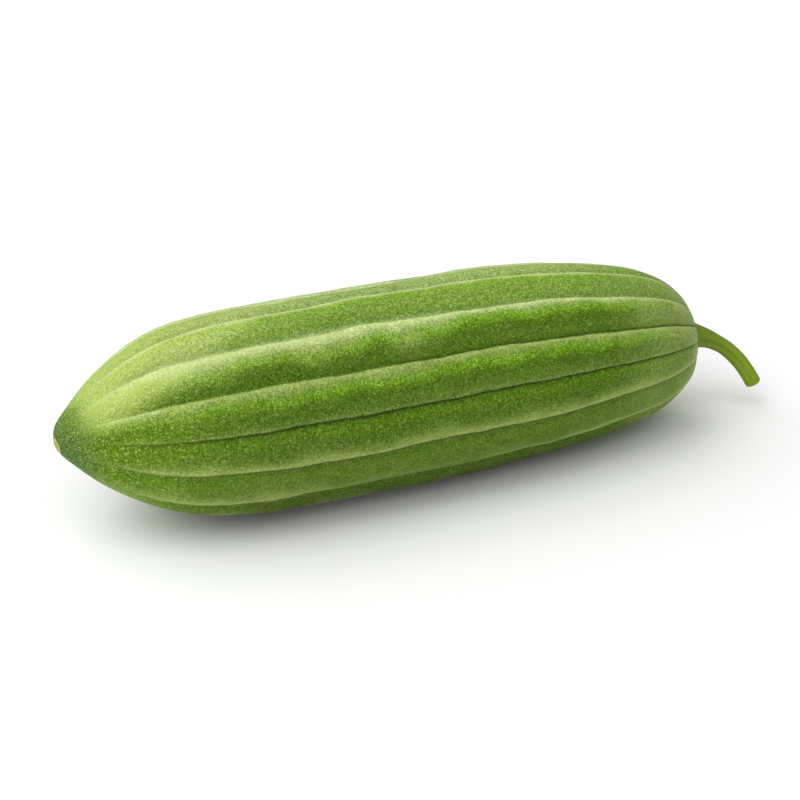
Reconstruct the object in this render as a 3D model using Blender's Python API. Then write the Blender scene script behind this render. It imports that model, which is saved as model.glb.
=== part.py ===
"""A ridge gourd, picked and lying on its side: the ridged fruit and the cut stem it grew on.

Metres, +Z up. The fruit lies along X with its blossom tip towards -X and its stem towards +X.
The origin is at the bottom centre of the whole part's box, on the surface that the fruit rests on.
"""

import math

import bpy
import bmesh
from mathutils import Vector

# Fruit
FRUIT_LENGTH = 0.215        # blossom tip to stem end
CREST_RADIUS = 0.0326       # axis to ridge crest, where the fullness below is 1
FULLNESS = (                # girth against an ellipsoid's, evenly spaced from tip to stem end
    0.99, 0.87, 1.06, 1.16, 1.10, 1.02, 0.99, 1.01, 1.08, 1.18, 1.35, 1.49, 1.10,
)
AXIS_TILT = math.radians(-1.3)   # the stem end lies lower, which balances the fruit on its belly
AXIS_BOW = 0.0006           # both ends curve up by this much
AXIS_SWAY = -0.0018         # slight S-bend, tip up and stem end down
SETTLE = 0.0002             # how far the two lowest ridges are pressed flat where the fruit rests

# Ridges
RIDGES = 15
FIRST_RIDGE = -78.0         # degrees about the axis, 0 towards +Y and 90 straight up
TIP_LEAN = (0, 0, 0, 0, 0, 0, -1, -2, -3, 0, 0, 1, 8, 4, 0)   # degrees each ridge swings by the tip
STEM_LEAN = (0, 0, 0, 0, 0, 2, 4, 7, 8, 6, 1, -3, 1, 0, 0)    # and by the stem end
RIDGE_HEIGHT = 0.0014       # crest above its foot
RIDGE_FOOT = 0.2            # half width of a ridge, in ridge spacings
PANEL_BULGE = 0.0006        # how far the skin between two ridges swells
FADE_START = -0.97          # the ridges rise out of the smooth tip between these two places,
FADE_END = -0.70            # -1 being the tip and 1 the stem end
COLUMNS_PER_RIDGE = 4
RINGS = 36

# Stem
STEM_SEAT = Vector((0.1068, 0.0, 0.0293))        # centre of the flat spot that the stem grows from
STEM_START = Vector((0.978, 0.0, -0.208)).normalized()
STEM_TIP = Vector((0.1304, -0.0070, 0.0098))     # centre of the cut end
STEM_END = Vector((0.43, -0.24, -0.87)).normalized()
START_PULL = 0.0166         # how far each end's direction carries into the curve
END_PULL = 0.0056
STEM_RADIUS = 0.00256
STEM_FLARE = 0.85           # extra radius where the stem meets the fruit, as a share
FLARE_LENGTH = 0.35         # share of the stem that the flare takes
STEM_POINTS = 14
STEM_GAP = 0.0003           # clearance between the stem and its seat

AXIS_HEIGHT = 0.033         # rough height of the axis before the part is set down on z = 0


def through(values, t):
    """Smooth curve through evenly spaced values, for t from 0 to 1 (Catmull-Rom)."""
    last = len(values) - 1
    place = min(max(t, 0.0) * last, last - 1e-9)
    i = int(place)
    f = place - i
    a = values[abs(i - 1)]
    b = values[i]
    c = values[i + 1]
    d = values[i + 2] if i + 2 <= last else values[last - 1]
    slope = c - a
    curve = 2 * a - 5 * b + 4 * c - d
    twist = -a + 3 * b - 3 * c + d
    return 0.5 * (2 * b + slope * f + curve * f * f + twist * f ** 3)


def smoothstep(low, high, value):
    f = min(max((value - low) / (high - low), 0.0), 1.0)
    return f * f * (3 - 2 * f)


def axis_height(u):
    """Height of the fruit's axis at u, from -1 at the tip to 1 at the stem end."""
    tilt = math.tan(AXIS_TILT) * u * FRUIT_LENGTH / 2
    bow = AXIS_BOW * (u * u - 1 / 3)
    sway = AXIS_SWAY * (u ** 3 - 0.6 * u)
    return AXIS_HEIGHT + tilt + bow + sway


def ridge_angle(ridge, u):
    """Angle of a ridge about the axis, in radians. Ridges swing a little towards the two ends."""
    lean = STEM_LEAN if u > 0 else TIP_LEAN
    turns, ridge = divmod(ridge, RIDGES)
    degrees = FIRST_RIDGE + 360 * turns + 360 / RIDGES * ridge + lean[ridge] * u * u
    return math.radians(degrees)


def relief(across, u):
    """How far the skin lies below the crests. across runs from 0 on one ridge to 1 on the next."""
    from_crest = min(across, 1 - across)
    flank = min(from_crest / RIDGE_FOOT, 1.0)
    ridge = RIDGE_HEIGHT * (1 - (1 - flank) ** 2)
    panel = PANEL_BULGE * math.sin(math.pi * from_crest) ** 2
    return (ridge - panel) * smoothstep(FADE_START, FADE_END, u)


def fruit_point(u, column):
    """Point of the skin at u along the fruit, on a column of the mesh."""
    t = math.acos(-u) / math.pi
    ridge, step = divmod(column, COLUMNS_PER_RIDGE)
    across = step / COLUMNS_PER_RIDGE
    start = ridge_angle(ridge, u)
    angle = start + (ridge_angle(ridge + 1, u) - start) * across
    end = math.sin(math.pi * t)
    radius = end * (CREST_RADIUS * through(FULLNESS, t) - relief(across, u))
    return Vector((
        u * FRUIT_LENGTH / 2,
        radius * math.cos(angle),
        axis_height(u) + radius * math.sin(angle),
    ))


def stem_point(t):
    """Centre line of the stem, a Bezier curve from the seat to the cut end."""
    start = STEM_SEAT + STEM_START * STEM_GAP
    a = start + STEM_START * START_PULL
    b = STEM_TIP - STEM_END * END_PULL
    s = 1 - t
    return s ** 3 * start + 3 * s * s * t * a + 3 * s * t * t * b + t ** 3 * STEM_TIP


def material(name, colour, roughness):
    mat = bpy.data.materials.new(name)
    mat.use_nodes = True
    shader = mat.node_tree.nodes["Principled BSDF"]
    shader.inputs["Base Color"].default_value = (*colour, 1.0)
    shader.inputs["Roughness"].default_value = roughness
    shader.inputs["Metallic"].default_value = 0.0
    mat.diffuse_color = (*colour, 1.0)
    return mat


def make_fruit(parts):
    """A sphere whose rings and columns are moved onto the ridged skin."""
    columns = RIDGES * COLUMNS_PER_RIDGE
    bm = bmesh.new()
    bmesh.ops.create_uvsphere(bm, u_segments=columns, v_segments=RINGS, radius=1.0)
    for vert in bm.verts:
        u = min(max(vert.co.z, -1.0), 1.0)
        turn = math.atan2(vert.co.y, vert.co.x) / math.tau
        vert.co = fruit_point(u, round(turn * columns) % columns)
        beyond = (vert.co - STEM_SEAT).dot(STEM_START)
        if beyond > 0:
            vert.co -= STEM_START * beyond
    floor = min(vert.co.z for vert in bm.verts) + SETTLE
    for vert in bm.verts:
        vert.co.z = max(vert.co.z, floor)
    mesh = bpy.data.meshes.new("fruit")
    bm.to_mesh(mesh)
    bm.free()
    mesh.shade_smooth()
    fruit = bpy.data.objects.new("fruit", mesh)
    mesh.materials.append(material("gourd_skin", (0.16, 0.30, 0.04), 0.55))
    parts.objects.link(fruit)
    return fruit, floor


def make_stem(parts):
    """A tube along the stem's curve, wider where it leaves the fruit, with a flat cut end."""
    curve = bpy.data.curves.new("stem", "CURVE")
    curve.dimensions = "3D"
    curve.bevel_depth = STEM_RADIUS
    curve.bevel_resolution = 4
    curve.use_fill_caps = True
    spline = curve.splines.new("POLY")
    spline.points.add(STEM_POINTS - 1)
    for i, point in enumerate(spline.points):
        t = i / (STEM_POINTS - 1)
        point.co = (*stem_point(t), 1.0)
        point.radius = 1 + STEM_FLARE * max(1 - t / FLARE_LENGTH, 0.0) ** 2
    curve.materials.append(material("stem_skin", (0.20, 0.32, 0.05), 0.5))
    stem = bpy.data.objects.new("stem", curve)
    parts.objects.link(stem)
    return stem


def set_down(objects, floor):
    """Move the pieces together so the origin is at the bottom centre of the whole part's box."""
    bpy.context.view_layer.update()
    corners = [obj.matrix_world @ Vector(c) for obj in objects for c in obj.bound_box]
    for axis in range(2):
        low = min(c[axis] for c in corners)
        high = max(c[axis] for c in corners)
        for obj in objects:
            obj.location[axis] -= (low + high) / 2
    for obj in objects:
        obj.location.z -= floor


def main():
    for obj in list(bpy.data.objects):
        bpy.data.objects.remove(obj, do_unlink=True)
    parts = bpy.data.collections.new("ridge_gourd")
    bpy.context.scene.collection.children.link(parts)
    fruit, floor = make_fruit(parts)
    stem = make_stem(parts)
    set_down([fruit, stem], floor)


main()
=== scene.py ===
"""The looks of the ridge gourd: its fine skin, stalk and scar, their materials, and the studio.

Metres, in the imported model's frame: +X from the blossom tip to the stem, +Z up, the floor at z = 0.
The skin is worked out in the fruit's own frame, like the CAD model, and then set down in that one.
There, u runs from -1 at the tip to 1 at the stem end, and angles go round the fruit's axis in degrees,
0 towards +Y and 90 straight up. Ridges are counted from FIRST_RIDGE on, in the order of their angles.
The skin from one ridge to the next is a panel, and across runs over it from 0 to 1. On the side
towards the camera the angles rise downwards, so a panel's first ridge is the upper one.
"""

import math

import bpy
import numpy as np
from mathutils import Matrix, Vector, noise
from mathutils.bvhtree import BVHTree


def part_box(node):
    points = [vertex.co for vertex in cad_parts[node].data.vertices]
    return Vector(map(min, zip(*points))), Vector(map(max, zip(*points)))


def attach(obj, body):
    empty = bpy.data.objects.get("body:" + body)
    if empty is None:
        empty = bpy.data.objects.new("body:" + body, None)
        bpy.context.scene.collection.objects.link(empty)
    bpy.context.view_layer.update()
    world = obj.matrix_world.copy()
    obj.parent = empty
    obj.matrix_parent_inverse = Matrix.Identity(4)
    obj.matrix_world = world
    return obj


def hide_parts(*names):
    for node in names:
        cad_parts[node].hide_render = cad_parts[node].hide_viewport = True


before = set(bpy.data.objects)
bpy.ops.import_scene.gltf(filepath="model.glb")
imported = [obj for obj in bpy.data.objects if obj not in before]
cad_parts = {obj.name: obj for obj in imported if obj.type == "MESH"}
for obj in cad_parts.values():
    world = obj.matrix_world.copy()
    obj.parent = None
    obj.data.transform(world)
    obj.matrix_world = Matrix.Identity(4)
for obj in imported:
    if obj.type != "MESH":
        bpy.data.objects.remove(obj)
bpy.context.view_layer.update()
FRUIT_LOW, FRUIT_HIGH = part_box("fruit")
BODY = "root"


def screen(red, green, blue):
    """A linear colour from the values, 0 to 255, that a screen shows for it."""
    def linear(value):
        value /= 255
        return value / 12.92 if value <= 0.04045 else ((value + 0.055) / 1.055) ** 2.4
    return linear(red), linear(green), linear(blue), 1.0


# The fruit's form, as in the CAD model
FRUIT_LENGTH = 0.215
CREST_RADIUS = 0.0326
FULLNESS = (0.99, 0.87, 1.06, 1.16, 1.10, 1.02, 0.99, 1.01, 1.08, 1.18, 1.35, 1.49, 1.10)
AXIS_HEIGHT = 0.033
AXIS_TILT = math.radians(-1.3)
AXIS_BOW = 0.0006
AXIS_SWAY = -0.0018
SETTLE = 0.0002
RIDGES = 15
FIRST_RIDGE = -78.0
TIP_LEAN = (0, 0, 0, 0, 0, 0, -1, -2, -3, 0, 0, 1, 8, 4, 0)
STEM_LEAN = (0, 0, 0, 0, 0, 2, 4, 7, 8, 6, 1, -3, 1, 0, 0)
RIDGES_START = -0.97        # the ridges rise out of the smooth tip between these two places
RIDGES_FULL = -0.70

# The stem's form, as in the CAD model
STEM_SEAT = Vector((0.1068, 0.0, 0.0293))
STEM_START = Vector((0.978, 0.0, -0.208)).normalized()
STEM_TIP = Vector((0.1304, -0.0070, 0.0098))
STEM_END = Vector((0.43, -0.24, -0.87)).normalized()
START_PULL = 0.0166
END_PULL = 0.0056
STEM_RADIUS = 0.00256
STEM_FLARE = 0.85
FLARE_LENGTH = 0.35

# The fine skin's mesh
COLUMNS_PER_RIDGE = 24
RINGS = 266
CROWDING = 0.55             # how much the columns crowd towards the ridges, 0 to 1
TIP_CROWDING = 3.0          # how much closer the rings lie at the tip
TIP_REACH = 0.006           # and over what length
OUTLINE_STEPS = 4000        # along the outline, for spacing the rings
FLOOR_STEPS = 2000          # and for finding its lowest point

# Its relief. Each ridge is a lip: the skin drops into a narrow notch on one side of it and runs level
# into the panel on the other. Tuples of 15 have one value for each ridge, or for the panel after it.
# The first two say how deep the notch before the ridge is, and the notch after it.
NOTCH_BEFORE = (0.9, 1, 1, 1, 1, 0, 0, 0.6, 0.8, 1.0, 0, 0, 0, 0, 0.9)
NOTCH_AFTER = (0.9, 0, 0, 0, 0, 1, 0.6, 0, 0, 0, 1.1, 0.9, 0.8, 1, 0.9)
NOTCH_DEPTH = 0.0014
NOTCH_WIDTH = 0.055         # in ridge spacings, like every width across a panel below
PANEL_FALL = 1.6            # how late in the panel the skin falls towards the notch
PANEL_BULGE = 0.0009
LOW_PANELS = (13, 14, 0)    # the panels beside the two ridges it rests on, which don't swell
RIDGE_SHIFT = (0, 0, 0, 0, 0, 0, 0, -0.8, 0.4, 1.6, 0, -0.5, -0.5, 0, 0)    # degrees from the CAD ridge
WANDER = ((0.35, 0.071), (0.22, 0.033), (0.14, 0.015), (0.10, 0.0067))      # degrees, wave length
WANDER_SEED = 7
KINK_SIZE = -1.3            # degrees by which the upper ridges step aside
KINK_PLACE = -0.012         # along the fruit, from its middle
KINK_LENGTH = 0.009
KINK_RIDGE = 7.6            # the middle one of those ridges
KINK_REACH = 1.2            # and how many there are on either side
LUMPS = (                   # height, length along the fruit and width round it
    (0.0007, 0.034, 0.020),
    (0.0004, 0.014, 0.009),
    (0.00012, 0.005, 0.0035),
)
LUMPS_START = (-1.0, -0.8)  # along u, from none of it to all
DENT_DEPTH = 0.0006
DENT_PLACE = -0.011
DENT_LENGTH = 0.008
DENT_ANGLE = 121.0
DENT_WIDTH = 10.0           # degrees

# Where its colours lie
PALENESS = (0.5, 0.5, 0.6, 0.8, 0.5, 0.7, 0.8, 1.1, 0.9, 0.74, 0.32, 0.72, 0.85, 0.85, 0.5)
MIDDLE_FADE = (0.2, 0, 0.3, 0, 0, 0.2, 0, 0, 0, 0.1, 0.2, 0, 0.8, 0.6, 0)   # share that the middle loses
MIDDLE_REACH = 0.4          # either way, in half lengths
TIP_LIP = (0.10, 0.12, 0.14, 0.18, 0.10, 0.15, 0.16, 0.10, 0.30, 0.20, 0.09, 0.20, 0.26, 0.30, 0.10)
STEM_LIP = (0.10, 0.12, 0.14, 0.14, 0.10, 0.12, 0.12, 0.08, 0.14, 0.16, 0.08, 0.19, 0.16, 0.12, 0.10)
LIP_WAVES = ((0.22, 19, 2.4), (0.12, 47, 5.1))      # share of the width, waves along u, turn per ridge
LIP_CHANGE = (-0.12, 0.22)  # along u, where TIP_LIP gives way to STEM_LIP
NOTCH_LIP_WIDTH = 0.03      # pale width on the notched side, those two having the level side's
LINE_SHARE = (1, 1, 1, 1, 1, 1, 0.2, 0.2, 0.5, 0.95, 1, 1, 0.8, 1, 1)       # how dark the painted shadow in each notch is
LINE_PLACE = 0.045          # from the ridge
LINE_WIDTH = 0.035
LINE_LEAST = 0.25           # share of its darkness that a line keeps at the tip
LINE_AFTER = (-0.9, -0.45)  # along u, where the lines after the ridges grow to their full darkness
LINE_BEFORE = (-0.5, 0.2)   # and the lines before them
# Painted shade: the next five place the darker green where a panel falls into a notch.
HOLLOW_FALL_TIP = 3.0       # how late in the panel the deep green comes before a ridge,
HOLLOW_FALL_STEM = 7.0      # at the tip and at the stem end
HOLLOW_CHANGE = (-0.2, 0.3)     # along u, where the one gives way to the other
HOLLOW_AFTER = 0.6          # share of it after a ridge
HOLLOW_FALL_AFTER = 5.0
VIVID_SHARE = (0.5, 0.7, 0.3, 0.6, 0.8, 0.6, 0.8, 0.9, 1.0, 1.0, 0.4, 0.15, 0.1, 0.4, 0.5)
VIVID_PLACE = 0.13          # past the edge of the pale lip
VIVID_WIDTH = 0.15
# A dull grey-green before the next ridge: partly dust, partly painted sheen.
DUST_AND_SHEEN = (0.3, 0.3, 0.3, 0.3, 0.3, 0.3, 0.1, 0.0, 0.5, 0.5, 0.45, 0.2, 0.0, 0.3, 0.3)
DUST_AND_SHEEN_PLACE = 0.80           # across the panel
DUST_AND_SHEEN_WIDTH = 0.16
DUST_AND_SHEEN_START = (-0.45, 0.1)   # along u, from none of it to all
DUST_AND_SHEEN_PANEL = (0, 0, 0.4, 0, 0, 0, 0, 0, 0, 0, 0.1, 0.5, 0.1, 0, 0)         # dust and painted sheen on all of the panel
DUST_AND_SHEEN_PANEL_START = (-0.9, -0.5)
PATCHES = (                 # pale patches: place along the fruit, length, angle, width in degrees, share; the first is painted light on the dent's lit wall
    (-0.0015, 0.0050, 126.0, 6.0, 0.40),
    (-0.0920, 0.0100, 232.0, 18.0, 0.45),
)
# Painted light: the upper side is painted paler, as lit from above, and the tip's upper flank palest,
# partly as lit from the left and partly its own paler skin.
UPPER_SIDE = 120.0          # above this angle the skin is paler,
UPPER_EDGE = 8.0            # with an edge as soft as this, in degrees either way
UPPER_PALENESS = 0.42
UPPER_START = (-1.0, -0.9)  # along u, from none of it to all
UPPER_LOSS = 0.4            # share of it lost at the stem end,
UPPER_FADE = (0.5, 0.9)     # between these places along u
FAR_SIDE = 90.0             # beyond this angle it is paler still
FAR_EDGE = 6.0
FAR_PALENESS = 0.35
FAR_END = (-20.0, 25.0)     # and low on the far side no longer
TIP_SIDE = 134.0            # at TIP_PLACE all above this angle is palest,
TIP_PLACE = -0.79
TIP_SLANT = 100.0           # which narrows by this many degrees over each half length
TIP_EDGE = (18.0, -16.0)    # its edge, from none of it to all
TIP_START = (-1.0, -0.84)
UNDERSIDE = 275.0           # the skin is painted darkest round this angle, as shade underneath
UNDER_EDGE = (75.0, 35.0)   # degrees from there, from none of it to all
TIPWARD_REACH = (-0.20, -0.85)  # along u, from none of a colour to all, as are the rest of these
CONE_REACH = (-0.50, -0.80)
NOSE_REACH = (-0.88, -0.98)
SHOULDER_REACH = (0.60, 0.95)
STEM_END_REACH = (0.85, 0.96)
UNDER_REACH = (-0.75, -0.45)
UNDER_END = (0.85, 0.5)
DASH_REACH = (-0.45, -0.8)
TIP_PALE_REACH = (-0.45, -0.85)
TIP_LEAST_PALE = 0.05       # how pale the tip is at least, of the way to PALE_PANEL, partly painted light from the left

# The stalk
STALK_RINGS = 110
STALK_COLUMNS = 120
STALK_GIRTH = 1.05          # its radius over its ribs, against the CAD stem's
STALK_SINK = 0.0012         # how far its foot reaches into the fruit
FOOT_SPREAD = 0.0011        # extra radius at the foot, where the ribs run out over the fruit
FOOT_LENGTH = 0.07
FURROWS = ((176, 0.8), (226, 0.5), (298, 0.6), (10, 0.5), (76, 0.25))       # degrees round it, and depth
FURROW_WIDTH = 12.0         # degrees
FURROW_TWIST = 8.0          # degrees from foot to cut
FURROW_START = (0.0, 0.12)  # along the stalk, where they grow to their full depth,
FURROW_FADE = (0.35, 0.85)  # and where they lose
FURROW_LOSS = 0.6           # this share of it
FURROW_DEPTH = 0.13         # as a share of the radius, like the next two
LINE_DEPTH = 0.012
STALK_LUMPS = 0.03
STALK_LINES = 19
CUT_ROUNDING = 0.05         # how much narrower the stalk is at the edge of the cut
CUT_EDGE = 0.015            # and over what share of its length
CUT_COLOUR_START = 0.992    # along the stalk, where the colour of the cut begins
CUT_DISHING = 0.0003
CUT_RISE = 0.6              # a raised ring fills this share of the dish's depth,
CUT_RISE_PLACE = 0.5        # at this share of the radius
CUT_RISE_WIDTH = 0.15
CUT_RINGS = (0.86, 0.68, 0.50, 0.32, 0.14)          # shares of the radius
SHARP_EDGE = math.radians(50)

# The scar of the blossom
SCAR_RADIUS = 0.0025
SCAR_UNEVENNESS = 0.07      # of its outline, as a share of the radius
SCAR_DROP = math.radians(8)     # how far below the tip the blossom hung
SCAR_SWING = math.radians(10)   # and how far towards -Y
SCAR_RINGS = 26
SCAR_COLUMNS = 72
SCAR_RIM = (0.78, 0.16)     # place and width, as shares of the radius, like the next two
SCAR_STAR = (0.42, 0.22)
SCAR_STYLE = (0.0, 0.16)
RIM_HEIGHT = 0.00022
STAR_HEIGHT = 0.00018
STYLE_HEIGHT = 0.00040
SCAR_LUMP_HEIGHT = 0.00006
SCAR_GRAIN = 1800.0         # lumps to the metre
SCAR_SINK = 0.00002
SCAR_EDGE = 0.08            # share of the radius over which it dips into the skin
SCAR_DIP = 0.0002
SCAR_POINTS = 5             # of its star
NOSE_RADIUS = 0.008         # the tip is rounded about a point this far in from it,
NOSE_HEIGHT = 0.0350        # and this high
NOSE_TOP = 0.0470           # its dark green thins out from there to this height
AIM_DISTANCE = 0.02         # how far out the scar's points start, on their way to the skin

# Colours, as a screen shows them in flat light. Some are painted light and shade, as marked.
PANEL = screen(78, 108, 24)
# Painted light: PALE_PANEL and TOP_PANEL are lighter copies of PANEL for the upper side and the tip.
PALE_PANEL = screen(158, 193, 86)
TOP_PANEL = screen(170, 193, 112)
VIVID = screen(102, 145, 16)
# Painted light: a lighter copy of VIVID for the upper side and the tip.
PALE_VIVID = screen(146, 182, 60)
# Partly dust, partly painted sheen.
DUSTY_SHEEN = screen(104, 131, 48)
# Painted shade where a panel falls into a notch.
HOLLOW_SHADE = screen(66, 96, 6)
# Painted shade for the underside.
UNDER_SHADE = screen(52, 64, 8)
CREST = screen(176, 196, 108)
# Painted light: a lighter copy of CREST for the upper side.
PALE_CREST = screen(202, 218, 146)
# Painted shadow for the notches.
GROOVE_SHADOW = screen(36, 56, 6)
# TIPWARD: the upper side of the tip end, partly its own yellower skin and partly painted light from the
# left.
TIPWARD = screen(170, 190, 96)
CONE = screen(98, 131, 24)
# SHOULDER and STEM_END_RIM: the greyer stem end, partly its own colour and partly painted sheen, palest
# at its rim.
SHOULDER = screen(148, 171, 90)
STEM_END_RIM = screen(176, 194, 122)
NOSE = screen(84, 112, 56)
FLECK = screen(182, 206, 116)
STALK = screen(124, 150, 22)
STALK_FOOT = screen(102, 126, 38)
# Painted shade for the stalk's furrows.
STALK_FURROW = screen(78, 104, 10)
STALK_RIM = screen(150, 164, 84)
CUT_FLESH = screen(176, 190, 118)
CUT_RING = screen(128, 148, 66)
SCAR = screen(196, 190, 108)
SCAR_DARK = screen(150, 142, 74)

# The textures
FINE_GRAIN = 0.00038        # sizes, on the skin
PEBBLES = 0.0009
MOTTLE = 0.0035
BLOTCHES = 0.014
FLECK_SPACING = 0.0010
FLECK_GAPS = 0.42           # share of the places without a fleck
DASH_SPACING = 0.0009       # dashes are flecks of the tip, drawn out along it
DASH_GAPS = 0.35
DRAWN_OUT = (0.3, 1.0, 1.0)
MOTTLE_STRETCH = (0.6, 1.0, 1.0)
UNEVEN_RELIEF = 0.0008      # heights, on the skin
GRAIN_RELIEF = 0.00045
STALK_FINE = 0.0006         # sizes and height, on the stalk
STALK_SLOW = 0.004
STALK_RELIEF = 0.0001
SCAR_FINE = 0.0005          # size and height, on the scar
SCAR_RELIEF = 0.0002
GRAIN_CONTRAST = (2.2, 1.95, 3.7)           # in red, green and blue
SMOOTH_GRAIN = 0.35         # how much of the grain and flecks the smoothest skin shows
SHEEN_TINT = (0.85, 1.0, 0.65, 1.0)

# Camera
VIEW_AZIMUTH = math.radians(-21.9)
VIEW_ELEVATION = math.radians(30.0)
VIEW_DISTANCE = 0.6016
VIEW_TARGET = Vector((FRUIT_LOW.x + FRUIT_LENGTH / 2 + 0.0032, 0.0, 0.0251))
LENS = 85.0
SENSOR = 36.0

# Light
ROOM = 0.06                 # light from all round
BACKDROP = 1.0              # how bright the room looks behind the gourd
LIGHTS = (                  # azimuth from +X towards +Y and elevation, in degrees, and power
    ("side", 150, 50, 650.0),
    ("front", 240, 50, 540.0),
    ("above", 210, 75, 310.0),
)
LIGHT_SIZE = 12.0
LIGHT_DISTANCE = 8.0
FLOOR_SIZE = 2.2
FLOOR_WHITE = 0.9


def make_camera():
    data = bpy.data.cameras.new("camera")
    data.lens = LENS
    data.sensor_width = SENSOR
    data.clip_start = 0.01
    camera = bpy.data.objects.new("camera", data)
    bpy.context.scene.collection.objects.link(camera)
    back = Vector((
        math.sin(VIEW_AZIMUTH) * math.cos(VIEW_ELEVATION),
        -math.cos(VIEW_AZIMUTH) * math.cos(VIEW_ELEVATION),
        math.sin(VIEW_ELEVATION),
    ))
    camera.location = VIEW_TARGET + back * VIEW_DISTANCE
    camera.rotation_mode = "QUATERNION"
    camera.rotation_quaternion = (-back).to_track_quat("-Z", "Y")
    bpy.context.scene.camera = camera


def make_floor():
    bpy.ops.mesh.primitive_plane_add(size=FLOOR_SIZE)
    floor = bpy.context.object
    floor.name = "floor"
    mat = bpy.data.materials.new("floor")
    mat.use_nodes = True
    shader = mat.node_tree.nodes["Principled BSDF"]
    shader.inputs["Base Color"].default_value = (FLOOR_WHITE, FLOOR_WHITE, FLOOR_WHITE, 1.0)
    shader.inputs["Roughness"].default_value = 1.0
    shader.inputs["Specular IOR Level"].default_value = 0.0
    floor.data.materials.append(mat)


def soft_light(name, azimuth, elevation, power):
    data = bpy.data.lights.new(name, "AREA")
    data.shape = "SQUARE"
    data.size = LIGHT_SIZE
    data.energy = power
    light = bpy.data.objects.new(name, data)
    azimuth, elevation = math.radians(azimuth), math.radians(elevation)
    towards = Vector((
        math.cos(azimuth) * math.cos(elevation),
        math.sin(azimuth) * math.cos(elevation),
        math.sin(elevation),
    ))
    light.location = towards * LIGHT_DISTANCE
    light.rotation_mode = "QUATERNION"
    light.rotation_quaternion = (-towards).to_track_quat("-Z", "Y")
    light.visible_camera = False
    bpy.context.scene.collection.objects.link(light)


def make_lights():
    """Big soft lights from the left, the front and above, in a dim room with a white backdrop."""
    world = bpy.data.worlds.new("world")
    world.use_nodes = True
    tree = world.node_tree
    seen = tree.nodes.new("ShaderNodeLightPath")
    strength = tree.nodes.new("ShaderNodeMapRange")
    strength.inputs["To Min"].default_value = ROOM
    strength.inputs["To Max"].default_value = BACKDROP
    tree.links.new(seen.outputs["Is Camera Ray"], strength.inputs["Value"])
    tree.links.new(strength.outputs["Result"], tree.nodes["Background"].inputs["Strength"])
    tree.nodes["Background"].inputs["Color"].default_value = (1.0, 1.0, 1.0, 1.0)
    bpy.context.scene.world = world
    for light in LIGHTS:
        soft_light(*light)


def through(values, t):
    """Smooth curve through evenly spaced values, for an array t from 0 to 1 (Catmull-Rom)."""
    last = len(values) - 1
    place = np.clip(t, 0.0, 1.0 - 1e-9) * last
    i = place.astype(int)
    f = place - i
    padded = np.array([values[1], *values, values[-2]])
    a, b, c, d = padded[i], padded[i + 1], padded[i + 2], padded[i + 3]
    slope = c - a
    curve = 2 * a - 5 * b + 4 * c - d
    twist = -a + 3 * b - 3 * c + d
    return 0.5 * (2 * b + slope * f + curve * f ** 2 + twist * f ** 3)


def smoothstep(low, high, value):
    f = np.clip((value - low) / (high - low), 0.0, 1.0)
    return f * f * (3 - 2 * f)


def bump(centre, width, value):
    return np.exp(-((value - centre) / width) ** 2)


def of_ridge(values, ridge):
    """Each ridge's own value, from a tuple with one for each."""
    return np.array(values)[ridge % RIDGES]


def outline(t):
    """Place along the axis, from -1 to 1, and crest radius, for t from 0 at the tip to 1."""
    return -np.cos(math.pi * t), np.sin(math.pi * t) * CREST_RADIUS * through(FULLNESS, t)


def axis_height(u):
    tilt = math.tan(AXIS_TILT) * u * FRUIT_LENGTH / 2
    return AXIS_HEIGHT + tilt + AXIS_BOW * (u * u - 1 / 3) + AXIS_SWAY * (u ** 3 - 0.6 * u)


def floor_height():
    """Height, in the fruit's own frame, of the surface that it rests on."""
    u, radius = outline(np.linspace(0.0, 1.0, FLOOR_STEPS + 1))
    lowest_ridge = math.radians(FIRST_RIDGE)
    return (axis_height(u) + radius * math.sin(lowest_ridge)).min() + SETTLE


def set_down(points):
    """Move points from the fruit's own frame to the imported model's."""
    points[:, 0] += FRUIT_LOW.x + FRUIT_LENGTH / 2
    points[:, 1] += (FRUIT_LOW.y + FRUIT_HIGH.y) / 2
    points[:, 2] -= floor_height()
    return points


def ring_places():
    """Values of t that space the rings along the skin, closer together at the tip."""
    t = np.linspace(0.0, 1.0, OUTLINE_STEPS + 1)
    u, radius = outline(t)
    step = np.hypot(np.diff(u) * FRUIT_LENGTH / 2, np.diff(radius))
    walked = np.concatenate([[0.0], np.cumsum(step)])
    weight = 1 + (TIP_CROWDING - 1) * np.exp(-walked[:-1] / TIP_REACH)
    spread = np.concatenate([[0.0], np.cumsum(step * weight)])
    return np.interp(np.linspace(0.0, spread[-1], RINGS + 1)[1:-1], spread, t)


def ridge_angle(ridge, u):
    """Angle of each ridge, with its lean towards the two ends and its wander."""
    turn, ridge = ridge // RIDGES, ridge % RIDGES
    lean = np.where(u > 0, of_ridge(STEM_LEAN, ridge), of_ridge(TIP_LEAN, ridge)) * u * u
    lean = lean + of_ridge(RIDGE_SHIFT, ridge)
    phase = np.random.default_rng(WANDER_SEED).uniform(0, math.tau, (RIDGES, len(WANDER)))
    x = u * FRUIT_LENGTH / 2
    wander = sum(
        size * np.sin(math.tau * x / length + phase[ridge, i])
        for i, (size, length) in enumerate(WANDER)
    )
    kink = KINK_SIZE * bump(KINK_PLACE, KINK_LENGTH, x) * bump(KINK_RIDGE, KINK_REACH, ridge)
    even = FIRST_RIDGE + 360 * turn + 360 / RIDGES * ridge
    return even + lean + (wander + kink) * (1 - u ** 4)


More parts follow.
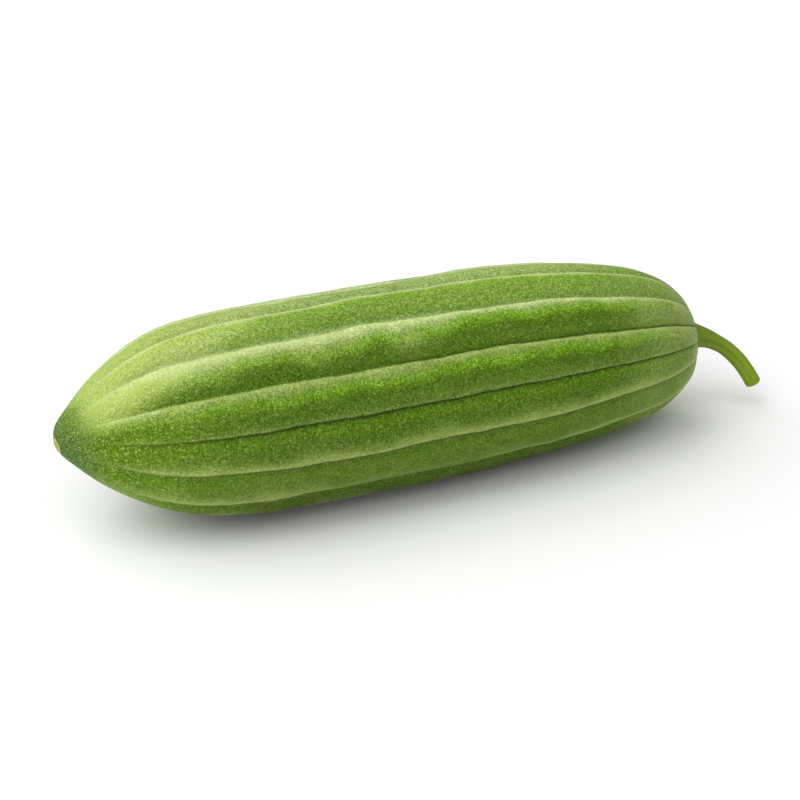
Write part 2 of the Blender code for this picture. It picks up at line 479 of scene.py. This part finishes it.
def skin_grid():
    """Every ring and column of the skin: t, u, ridge, place across the panel, and angle in radians."""
    t = ring_places()[:, None]
    u, _ = outline(t)
    number = np.arange(RIDGES * COLUMNS_PER_RIDGE)
    ridge = (number // COLUMNS_PER_RIDGE)[None, :]
    step = number % COLUMNS_PER_RIDGE / COLUMNS_PER_RIDGE
    across = (step - CROWDING * np.sin(math.tau * step) / math.tau)[None, :]
    start, end = ridge_angle(ridge, u), ridge_angle(ridge + 1, u)
    return t, u, ridge, across, np.radians(start + (end - start) * across)


def relief(ridge, across, u):
    """How far the skin lies below the ridges."""
    def notch(distance):
        return 1 - np.exp(-(distance / NOTCH_WIDTH) ** 1.5)

    fall = of_ridge(NOTCH_BEFORE, ridge + 1) * across ** PANEL_FALL * notch(1 - across)
    fall = fall + of_ridge(NOTCH_AFTER, ridge) * (1 - across) ** PANEL_FALL * notch(across)
    swell = np.where(np.isin(ridge, LOW_PANELS), 0.0, 4 * across * (1 - across))
    return (NOTCH_DEPTH * fall - PANEL_BULGE * swell) * smoothstep(RIDGES_START, RIDGES_FULL, u)


def lumps(x, angle, u):
    """Slow unevenness of the skin, drawn out along the fruit, and its one dent. The tip has none."""
    along, around = np.broadcast_arrays(x, angle)
    places = np.stack([along, np.cos(around), np.sin(around)], -1).reshape(-1, 3).tolist()
    total = np.zeros(along.size)
    for size, length, width in LUMPS:
        total += size * np.array([
            noise.noise((a / length, b * CREST_RADIUS / width, c * CREST_RADIUS / width + length))
            for a, b, c in places
        ])
    dent = DENT_DEPTH * bump(DENT_PLACE, DENT_LENGTH, x) * bump(DENT_ANGLE, DENT_WIDTH, np.degrees(angle))
    return (total.reshape(along.shape) - dent) * smoothstep(*LUMPS_START, u)


def lip_width(ridge, u):
    """Pale width on a ridge's level side, different towards the two ends and a little uneven."""
    tip, stem = of_ridge(TIP_LIP, ridge), of_ridge(STEM_LIP, ridge)
    waves = sum(size * np.sin(u * number + ridge * turn) for size, number, turn in LIP_WAVES)
    return (tip + (stem - tip) * smoothstep(*LIP_CHANGE, u)) * (1 + waves)


def crest_mask(ridge, across, degrees, u):
    """The pale lips along the ridges, and the pale patches, the first of them painted light on the dent's
    lit wall.
    """
    def lip(which, distance, notched):
        level = lip_width(which, u)
        width = level + (NOTCH_LIP_WIDTH - level) * np.minimum(notched, 1.0)
        fade = 1 - of_ridge(MIDDLE_FADE, which) * bump(0.0, MIDDLE_REACH, u)
        return of_ridge(PALENESS, which) * fade * np.exp(-(distance / width) ** 1.5)

    following = (ridge + 1) % RIDGES
    crest = np.maximum(
        lip(ridge, across, of_ridge(NOTCH_AFTER, ridge)),
        lip(following, 1 - across, of_ridge(NOTCH_BEFORE, following)),
    ) * smoothstep(RIDGES_START, RIDGES_FULL, u)
    for place, length, middle, width, share in PATCHES:
        patch = bump(place, length, u * FRUIT_LENGTH / 2) * bump(middle, width, degrees)
        crest = np.maximum(crest, share * patch)
    return crest


def groove_shadow_mask(ridge, across, u):
    """Painted shadow: the dark line in each notch, which fades towards the tip."""
    def line(which, depth, distance, fade):
        depth = of_ridge(LINE_SHARE, which) * of_ridge(depth, which)
        return depth * bump(LINE_PLACE, LINE_WIDTH, distance) * (LINE_LEAST + (1 - LINE_LEAST) * fade)

    after = line(ridge, NOTCH_AFTER, across, smoothstep(*LINE_AFTER, u))
    before = line(ridge + 1, NOTCH_BEFORE, 1 - across, smoothstep(*LINE_BEFORE, u))
    return (after + before) * smoothstep(RIDGES_START, RIDGES_FULL, u)


def hollow_shade_mask(ridge, across, u):
    """Painted shade: the darker deep green where a panel falls towards a notch, narrower towards the
    stem.
    """
    fall = HOLLOW_FALL_TIP + (HOLLOW_FALL_STEM - HOLLOW_FALL_TIP) * smoothstep(*HOLLOW_CHANGE, u)
    before = of_ridge(NOTCH_BEFORE, ridge + 1) * across ** fall
    after = HOLLOW_AFTER * of_ridge(NOTCH_AFTER, ridge) * (1 - across) ** HOLLOW_FALL_AFTER
    return (before + after) * smoothstep(RIDGES_START, RIDGES_FULL, u)


def dust_and_sheen_mask(ridge, across, u):
    """Dull grey-green, partly dust and partly painted sheen, before the next ridge, in the half towards
    the stem, and on some whole panels.
    """
    band = of_ridge(DUST_AND_SHEEN, ridge) * bump(DUST_AND_SHEEN_PLACE, DUST_AND_SHEEN_WIDTH, across) * smoothstep(*DUST_AND_SHEEN_START, u)
    return band + of_ridge(DUST_AND_SHEEN_PANEL, ridge) * smoothstep(*DUST_AND_SHEEN_PANEL_START, u)


def lit_side_mask(degrees, u):
    """Painted light: the paler upper side, as lit from above, and the palest flank of the tip, partly lit
    from the left and partly its own paler skin.
    """
    upper = UPPER_PALENESS * smoothstep(UPPER_SIDE + UPPER_EDGE, UPPER_SIDE - UPPER_EDGE, degrees)
    upper = upper + FAR_PALENESS * smoothstep(FAR_SIDE + FAR_EDGE, FAR_SIDE - FAR_EDGE, degrees)
    upper = upper * (1 - UPPER_LOSS * smoothstep(*UPPER_FADE, u)) * smoothstep(*UPPER_START, u)
    below = degrees - TIP_SIDE + TIP_SLANT * (u - TIP_PLACE)
    flank = smoothstep(*TIP_EDGE, below) * smoothstep(*TIP_START, u)
    return np.maximum(upper, flank) * smoothstep(*FAR_END, degrees)


def skin_masks(ridge, across, angle, u):
    """Where the skin changes colour: the values that the skin's material reads."""
    degrees = np.degrees(angle) % 360
    from_underside = abs((degrees - UNDERSIDE + 180) % 360 - 180)
    vivid = bump(VIVID_PLACE + lip_width(ridge, u), VIVID_WIDTH, across)
    return {
        "crest": crest_mask(ridge, across, degrees, u),
        "groove_shadow": groove_shadow_mask(ridge, across, u),
        "hollow_shade": hollow_shade_mask(ridge, across, u),
        "vivid": of_ridge(VIVID_SHARE, ridge) * vivid,
        "dust_and_sheen": dust_and_sheen_mask(ridge, across, u),
        "lit_side": lit_side_mask(degrees, u),
        "under_shade": smoothstep(*UNDER_EDGE, from_underside),
        "along": u + np.zeros_like(across),
    }


def new_object(name, points, faces):
    mesh = bpy.data.meshes.new(name)
    mesh.from_pydata(points.tolist(), [], faces)
    mesh.shade_smooth()
    obj = bpy.data.objects.new(name, mesh)
    bpy.context.scene.collection.objects.link(obj)
    return obj


def add_values(obj, name, values):
    attribute = obj.data.attributes.new(name, "FLOAT", "POINT")
    attribute.data.foreach_set("value", np.asarray(values, dtype=np.float32).ravel())


def tube_faces(rings, columns):
    """Faces of a closed ring-by-column skin, whose last two points are the poles at its two ends."""
    index = np.arange(rings * columns).reshape(rings, columns)
    beside = np.roll(index, -1, 1)
    faces = np.stack([index[:-1], beside[:-1], beside[1:], index[1:]], -1).reshape(-1, 4).tolist()
    first_pole, last_pole = rings * columns, rings * columns + 1
    faces += [(b, a, first_pole) for a, b in zip(index[0].tolist(), beside[0].tolist())]
    faces += [(a, b, last_pole) for a, b in zip(index[-1].tolist(), beside[-1].tolist())]
    return faces


def disc_faces(rings, columns):
    """Faces of a ring-by-column disc, whose last point is its middle."""
    index = np.arange(rings * columns).reshape(rings, columns)
    beside = np.roll(index, -1, 1)
    faces = np.stack([index[:-1], index[1:], beside[1:], beside[:-1]], -1).reshape(-1, 4).tolist()
    middle = rings * columns
    return faces + [(middle, a, b) for a, b in zip(index[0].tolist(), beside[0].tolist())]


def make_fruit():
    t, u, ridge, across, angle = skin_grid()
    rings, columns = angle.shape
    _, crest_radius = outline(t)
    x = u * FRUIT_LENGTH / 2 + np.zeros_like(angle)
    taper = np.sin(math.pi * t)
    radius = crest_radius - relief(ridge, across, u) * taper + lumps(x, angle, u) * taper
    y = radius * np.cos(angle)
    z = axis_height(u) + radius * np.sin(angle)
    ends = np.array([[-1.0], [1.0]])
    poles = np.column_stack([ends * FRUIT_LENGTH / 2, ends * 0, axis_height(ends)])
    points = np.vstack([np.stack([x, y, z], -1).reshape(-1, 3), poles])
    beyond = np.maximum((points - np.array(STEM_SEAT)) @ np.array(STEM_START), 0.0)
    points -= beyond[:, None] * np.array(STEM_START)
    points = set_down(points)
    points[:, 2] = np.maximum(points[:, 2], 0.0)
    fruit = new_object("gourd_skin", points, tube_faces(rings, columns))
    for name, values in skin_masks(ridge, across, angle, u).items():
        at_poles = (-1.0, 1.0) if name == "along" else (0.0, 0.0)
        add_values(fruit, name, np.append(values.ravel(), at_poles))
    return fruit


class Nodes:
    """Short ways to add and join the nodes of one material."""

    def __init__(self, name):
        self.material = bpy.data.materials.new(name)
        self.material.use_nodes = True
        self.tree = self.material.node_tree
        self.shader = self.tree.nodes["Principled BSDF"]

    def add(self, kind, inputs=(), **settings):
        """A new node. Each of its inputs is a number or colour, or another node's output to link."""
        node = self.tree.nodes.new(kind)
        for key, value in settings.items():
            setattr(node, key, value)
        for key, value in dict(inputs).items():
            if isinstance(value, bpy.types.NodeSocket):
                self.tree.links.new(value, node.inputs[key])
            else:
                node.inputs[key].default_value = value
        return node

    def join(self, source, name):
        self.tree.links.new(source, self.shader.inputs[name])

    def value(self, name):
        return self.add("ShaderNodeAttribute", attribute_name=name).outputs["Fac"]

    def coords(self, stretch=(1.0, 1.0, 1.0)):
        coords = self.add("ShaderNodeTexCoord").outputs["Object"]
        return self.add("ShaderNodeMapping", {"Vector": coords, "Scale": stretch}).outputs[0]

    def noise(self, coords, size, detail=2.0, roughness=0.5):
        """Noise whose patches are about size metres wide."""
        inputs = {"Vector": coords, "Scale": 1 / size, "Detail": detail, "Roughness": roughness}
        return self.add("ShaderNodeTexNoise", inputs).outputs["Fac"]

    def flecks(self, coords, spacing, gaps):
        """Small spots in cells of that spacing. gaps is the share of cells without one."""
        cell = self.add("ShaderNodeTexVoronoi", {"Vector": coords, "Scale": 1 / spacing}).outputs
        chance = self.add("ShaderNodeSeparateColor", {0: cell["Color"]}).outputs[0]
        spot = self.spread(cell["Distance"], 0.10, 0.34, 0.9, 0.0)
        return self.times(spot, self.spread(chance, gaps, gaps + 0.15))

    def spread(self, value, low, high, to_low=0.0, to_high=1.0):
        inputs = {"Value": value, "From Min": low, "From Max": high, "To Min": to_low, "To Max": to_high}
        return self.add("ShaderNodeMapRange", inputs).outputs[0]

    def vary(self, pattern, to_low, to_high):
        """A number that follows a noise, between about to_low and to_high."""
        return self.spread(pattern, 0.3, 0.7, to_low, to_high)

    def math(self, a, b, operation):
        return self.add("ShaderNodeMath", {0: a, 1: b}, operation=operation).outputs[0]

    def sum(self, a, b):
        return self.math(a, b, "ADD")

    def times(self, a, b):
        return self.math(a, b, "MULTIPLY")

    def mix(self, share, a, b):
        inputs = {0: share, 6: a, 7: b}
        return self.add("ShaderNodeMix", inputs, data_type="RGBA", clamp_factor=True).outputs[2]

    def shade(self, tone, channels):
        """A colour times three numbers, for its red, green and blue."""
        factor = self.add("ShaderNodeCombineXYZ", dict(enumerate(channels))).outputs[0]
        inputs = {0: 1.0, 6: tone, 7: factor}
        settings = {"data_type": "RGBA", "blend_type": "MULTIPLY", "clamp_factor": True}
        return self.add("ShaderNodeMix", inputs, **settings).outputs[2]

    def bump(self, height, distance, normal=None):
        inputs = {"Height": height, "Distance": distance, "Strength": 1.0}
        if normal:
            inputs["Normal"] = normal
        return self.add("ShaderNodeBump", inputs).outputs[0]


def skin_colour(n, even, mottle, blotch):
    """The skin's colour before its grain, and how smooth the skin is, from 0 to 1."""
    uneven, patchy = n.vary(mottle, 0.6, 1.3), n.spread(blotch, 0.35, 0.65, 0.6, 1.2)
    along, lit_side, crest = n.value("along"), n.value("lit_side"), n.value("crest")
    vivid_share, dust_and_sheen, hollow_shade = n.value("vivid"), n.value("dust_and_sheen"), n.value("hollow_shade")

    # Painted light: lighter copies of the panel colours on the upper side and towards the tip.
    pale = n.math(lit_side, n.spread(along, *TIP_PALE_REACH, 0.0, TIP_LEAST_PALE), "MAXIMUM")
    pale_panel = n.mix(n.spread(lit_side, 0.5, 0.8), PALE_PANEL, TOP_PANEL)
    panel, vivid = n.mix(pale, PANEL, pale_panel), n.mix(pale, VIVID, PALE_VIVID)
    tone = n.mix(n.times(vivid_share, uneven), panel, vivid)
    # Dull grey-green: partly dust, partly painted sheen.
    tone = n.mix(n.times(dust_and_sheen, uneven), tone, DUSTY_SHEEN)

    # Paler, yellower upper side of the tip end: partly its own colour, partly painted light from the
    # left.
    tip_end = n.times(n.spread(along, *TIPWARD_REACH), n.spread(lit_side, 0.0, 0.6, 0.05, 0.9))
    tone = n.mix(n.times(tip_end, n.spread(blotch, 0.35, 0.65, 0.75, 1.1)), tone, TIPWARD)
    cone = n.times(n.spread(along, *CONE_REACH), n.spread(lit_side, 0.0, 0.6, 0.8, 0.0))
    tone = n.mix(n.times(cone, uneven), tone, CONE)

    # Greyer, paler stem end: partly its own colour, partly painted sheen at its rim.
    less_above = n.spread(lit_side, 0.0, 0.4, 1.0, 0.5)
    grey_end = n.times(n.spread(along, *SHOULDER_REACH, 0.0, 0.95), less_above)
    shoulder = n.mix(n.spread(along, *STEM_END_REACH), SHOULDER, STEM_END_RIM)
    tone = n.mix(n.times(grey_end, patchy), tone, shoulder)

    # Painted shade where the panels fall into the notches.
    tone = n.mix(n.times(hollow_shade, 0.8), tone, HOLLOW_SHADE)
    # Painted shade on the underside, away from the two ends.
    middle = n.times(n.spread(along, *UNDER_REACH), n.spread(along, *UNDER_END))
    tone = n.mix(n.times(n.value("under_shade"), middle), tone, UNDER_SHADE)
    # Painted light: the lips are lighter on the upper side.
    lip = n.mix(n.spread(lit_side, 0.0, 0.3), CREST, PALE_CREST)
    tone = n.mix(n.times(crest, n.vary(mottle, 0.85, 1.15)), tone, lip)
    # Painted shadow: the dark line in each notch.
    tone = n.mix(n.times(n.value("groove_shadow"), 0.85), tone, GROOVE_SHADOW)

    height = n.add("ShaderNodeSeparateXYZ", {0: even}).outputs[2]
    less_above = n.spread(height, NOSE_HEIGHT, NOSE_TOP, 1.0, 0.35)
    nose = n.times(n.spread(along, *NOSE_REACH), less_above)
    tone = n.mix(n.times(nose, n.vary(mottle, 0.85, 1.05)), tone, NOSE)

    smooth = n.sum(crest, n.times(tip_end, 0.9))
    return tone, n.sum(smooth, n.times(n.sum(dust_and_sheen, grey_end), 0.8))


def skin_material():
    """Felt-like green skin: pale along the ridges, vivid next to them, dull with dust and painted sheen
    before the next ones; painted light on its upper side, painted shade in its notches, hollows and
    underside.
    """
    n = Nodes("gourd_skin")
    even, drawn = n.coords(), n.coords(DRAWN_OUT)
    fine = n.noise(even, FINE_GRAIN, detail=1.0)
    pebbles = n.noise(even, PEBBLES, detail=1.0)
    mottle = n.noise(n.coords(MOTTLE_STRETCH), MOTTLE)
    blotch = n.noise(even, BLOTCHES)

    tone, smooth = skin_colour(n, even, mottle, blotch)
    calm = n.spread(smooth, 0.0, 1.0, 1.0, SMOOTH_GRAIN)
    grain = n.sum(n.times(fine, 1.3), n.times(pebbles, 0.7))
    grain = n.times(n.spread(grain, 0.65, 1.35, -1.0, 1.0), calm)
    tone = n.shade(tone, [n.math(contrast, grain, "POWER") for contrast in GRAIN_CONTRAST])
    on_vivid = n.spread(n.value("vivid"), 0.0, 1.0, 0.35, 0.8)
    flecks = n.times(n.flecks(even, FLECK_SPACING, FLECK_GAPS), on_vivid)
    tone = n.mix(n.times(flecks, calm), tone, FLECK)
    on_tip = n.spread(n.value("along"), *DASH_REACH, 0.0, 0.8)
    dashes = n.times(n.flecks(drawn, DASH_SPACING, DASH_GAPS), on_tip)
    tone = n.mix(n.times(dashes, calm), tone, FLECK)

    n.join(tone, "Base Color")
    n.join(n.vary(pebbles, 0.72, 0.58), "Roughness")
    uneven = n.bump(n.sum(mottle, n.times(blotch, 2.0)), UNEVEN_RELIEF)
    n.join(n.bump(n.sum(n.times(fine, 0.5), pebbles), GRAIN_RELIEF, uneven), "Normal")
    n.shader.inputs["Specular IOR Level"].default_value = 0.06
    n.shader.inputs["Sheen Weight"].default_value = 0.06
    n.shader.inputs["Sheen Roughness"].default_value = 0.3
    n.shader.inputs["Sheen Tint"].default_value = SHEEN_TINT
    return n.material


def stalk_centre(t):
    """Centre line of the stalk, a Bezier curve from the fruit to the cut end."""
    start, tip = np.array(STEM_SEAT), np.array(STEM_TIP)
    a = start + np.array(STEM_START) * START_PULL
    b = tip - np.array(STEM_END) * END_PULL
    s, t = 1 - t[:, None], t[:, None]
    return s ** 3 * start + 3 * s * s * t * a + 3 * s * t * t * b + t ** 3 * tip


def stalk_frames(centres):
    """Directions along the centre line and two across it, at each point, turning no more than needed."""
    along = np.gradient(centres, axis=0)
    along /= np.linalg.norm(along, axis=1)[:, None]
    side = np.array((0.0, 1.0, 0.0))
    sides = []
    for direction in along:
        side = side - direction * (side @ direction)
        side /= np.linalg.norm(side)
        sides.append(side)
    sides = np.array(sides)
    return along, sides, np.cross(along, sides)


def stalk_relief(place, turn):
    """Furrows, fine lines and lumpiness, from about 0 to 1, for each ring and column."""
    degrees = np.degrees(turn) - FURROW_TWIST * place
    furrow = sum(
        share * bump(0.0, FURROW_WIDTH, (degrees - centre + 180) % 360 - 180)
        for centre, share in FURROWS
    ) * (1 - FURROW_LOSS * smoothstep(*FURROW_FADE, place)) * smoothstep(*FURROW_START, place)
    lines = 0.5 + 0.5 * np.cos(STALK_LINES * np.radians(degrees) + 1.5 * np.sin(9 * place))
    lumpy = np.array([
        noise.noise((9 * a, 2 * math.cos(b), 2 * math.sin(b))) for a in place[:, 0] for b in turn[0]
    ]).reshape(lines.shape)
    return furrow, lines, lumpy


def make_stalk():
    t = np.linspace(0.0, 1.0, STALK_RINGS)
    centres = stalk_centre(t)
    along, side, up = stalk_frames(centres)
    centres[0] -= along[0] * STALK_SINK
    turn = np.linspace(0, math.tau, STALK_COLUMNS, endpoint=False)[None, :]
    place = t[:, None]
    furrow, lines, lumpy = stalk_relief(place, turn)
    flare = STEM_FLARE * np.maximum(1 - place / FLARE_LENGTH, 0.0) ** 2
    foot = np.maximum(1 - place / FOOT_LENGTH, 0.0) ** 2
    rim = np.maximum(place - (1 - CUT_EDGE), 0.0) / CUT_EDGE
    share = 1 - FURROW_DEPTH * furrow - LINE_DEPTH * lines + STALK_LUMPS * lumpy
    girth = STEM_RADIUS * STALK_GIRTH * (1 + flare) * share * (1 - CUT_ROUNDING * rim ** 2)
    radius = (girth + FOOT_SPREAD * foot)[..., None]
    across = np.cos(turn)[..., None] * side[:, None] + np.sin(turn)[..., None] * up[:, None]
    shell = centres[:, None] + radius * across

    inward = np.array(CUT_RINGS)[:, None, None]
    rise = CUT_RISE * bump(CUT_RISE_PLACE, CUT_RISE_WIDTH, inward)
    dish = CUT_DISHING * (1 - inward ** 2) * (1 - rise)
    face = centres[-1] + inward * (shell[-1] - centres[-1])[None] - dish * along[-1]
    poles = centres[0], centres[-1] - along[-1] * CUT_DISHING
    points = set_down(np.vstack([shell.reshape(-1, 3), face.reshape(-1, 3), *poles]))
    stalk = new_object("stalk", points, tube_faces(STALK_RINGS + len(CUT_RINGS), STALK_COLUMNS))
    stalk.data.set_sharp_from_angle(angle=SHARP_EDGE)

    on_shell, on_face = np.zeros(lines.shape), np.zeros((len(CUT_RINGS), STALK_COLUMNS))
    values = {      # on the shell, on the cut face, and at the poles of the foot and the cut
        "along": (place, 1.0, (0.0, 1.0)),
        "furrow": (furrow, 0.0, (0.0, 0.0)),
        "line": (lines, 0.0, (0.0, 0.0)),
        "cut": (smoothstep(CUT_COLOUR_START, 1.0, place), 1.0, (0.0, 1.0)),
        "from_middle": (1.0, inward[..., 0], (0.0, 0.0)),
    }
    for name, (shell_value, face_value, at_poles) in values.items():
        everywhere = (on_shell + shell_value).ravel(), (on_face + face_value).ravel(), at_poles
        add_values(stalk, name, np.concatenate(everywhere))
    return stalk


def stalk_material():
    """Smooth yellow-green stalk, greyer at its foot, with painted shade in its furrows, pale where it was
    cut.
    """
    n = Nodes("stem_skin")
    even = n.coords()
    fine, slow = n.noise(even, STALK_FINE), n.noise(even, STALK_SLOW)
    foot = n.times(n.spread(n.value("along"), 0.55, 0.0), n.vary(slow, 0.7, 1.1))
    tone = n.mix(foot, STALK, STALK_FOOT)
    tone = n.mix(n.times(n.value("line"), n.vary(slow, 0.1, 0.4)), tone, STALK_RIM)
    # Painted shade in the furrows.
    tone = n.mix(n.times(n.value("furrow"), 0.7), tone, STALK_FURROW)
    middle = n.value("from_middle")
    ring = n.times(n.spread(middle, 0.45, 0.62), n.spread(middle, 0.95, 0.75))
    flesh = n.mix(n.times(ring, n.vary(fine, 0.5, 1.0)), CUT_FLESH, CUT_RING)
    tone = n.mix(n.value("cut"), tone, flesh)
    grain = n.vary(fine, 0.88, 1.10)
    n.join(n.shade(tone, (grain, grain, grain)), "Base Color")
    n.join(n.vary(fine, 0.62, 0.48), "Roughness")
    n.join(n.bump(fine, STALK_RELIEF), "Normal")
    n.shader.inputs["Specular IOR Level"].default_value = 0.15
    return n.material


def scar_height(r, turn, hit):
    """How far the scar stands out of the skin, and how pale it is, for r from 0 at its middle to 1."""
    rim, style = bump(*SCAR_RIM, r), bump(*SCAR_STYLE, r)
    star = (0.5 + 0.5 * math.cos(SCAR_POINTS * turn)) * bump(*SCAR_STAR, r)
    raised = RIM_HEIGHT * rim + STAR_HEIGHT * star + STYLE_HEIGHT * style
    raised = raised + SCAR_LUMP_HEIGHT * noise.noise(hit * SCAR_GRAIN) - SCAR_SINK
    past = max(r - (1 - SCAR_EDGE), 0) / SCAR_EDGE
    return raised * min((1 - r) / SCAR_EDGE, 1.0) - SCAR_DIP * past, max(rim, star, style)


def make_scar(fruit):
    """The corky disc where the blossom fell off: a lumpy rim round a star of dry scales."""
    surface = BVHTree.FromObject(fruit, bpy.context.evaluated_depsgraph_get())
    level = math.cos(SCAR_DROP)
    out = Vector((-level * math.cos(SCAR_SWING), -level * math.sin(SCAR_SWING), -math.sin(SCAR_DROP)))
    side = Vector((-math.sin(SCAR_SWING), math.cos(SCAR_SWING), 0.0))
    up = side.cross(out)
    nose = Vector((FRUIT_LOW.x + NOSE_RADIUS, 0.0, NOSE_HEIGHT))
    turns = np.linspace(0, math.tau, SCAR_COLUMNS, endpoint=False)
    points, paleness = [], []
    for r in [*np.linspace(0.0, 1.0, SCAR_RINGS + 1)[1:], 0.0]:
        for turn in (turns if r else turns[:1]):
            uneven = noise.noise((3 * math.cos(turn), 3 * math.sin(turn), 5.0))
            edge = SCAR_RADIUS * (1 + SCAR_UNEVENNESS * uneven)
            sideways = (side * math.cos(turn) + up * math.sin(turn)) * r * edge
            hit = surface.ray_cast(nose + sideways + out * AIM_DISTANCE, -out)[0]
            raised, pale = scar_height(r, turn, hit)
            points.append(hit + out * raised)
            paleness.append(pale)
    scar = new_object("blossom_scar", np.array(points), disc_faces(SCAR_RINGS, SCAR_COLUMNS))
    add_values(scar, "raised", paleness)
    return scar


def scar_material():
    """Dry cork, paler where it stands out."""
    n = Nodes("scar")
    fine = n.noise(n.coords(), SCAR_FINE, detail=3.0, roughness=0.7)
    raised = n.times(n.value("raised"), n.vary(fine, 0.6, 1.2))
    n.join(n.mix(raised, SCAR_DARK, SCAR), "Base Color")
    n.join(n.bump(fine, SCAR_RELIEF), "Normal")
    n.shader.inputs["Roughness"].default_value = 0.85
    return n.material


def finish_piece(piece, material, slot, *nodes):
    piece.data.materials.append(material)
    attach(piece, BODY)
    if nodes:
        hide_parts(*nodes)


bpy.context.scene.view_settings.view_transform = "Standard"
make_camera()
make_floor()
make_lights()
fruit = make_fruit()
finish_piece(fruit, skin_material(), "gourd_skin", "fruit")
finish_piece(make_scar(fruit), scar_material(), "gourd_skin")
finish_piece(make_stalk(), stalk_material(), "stem_skin", "stem")
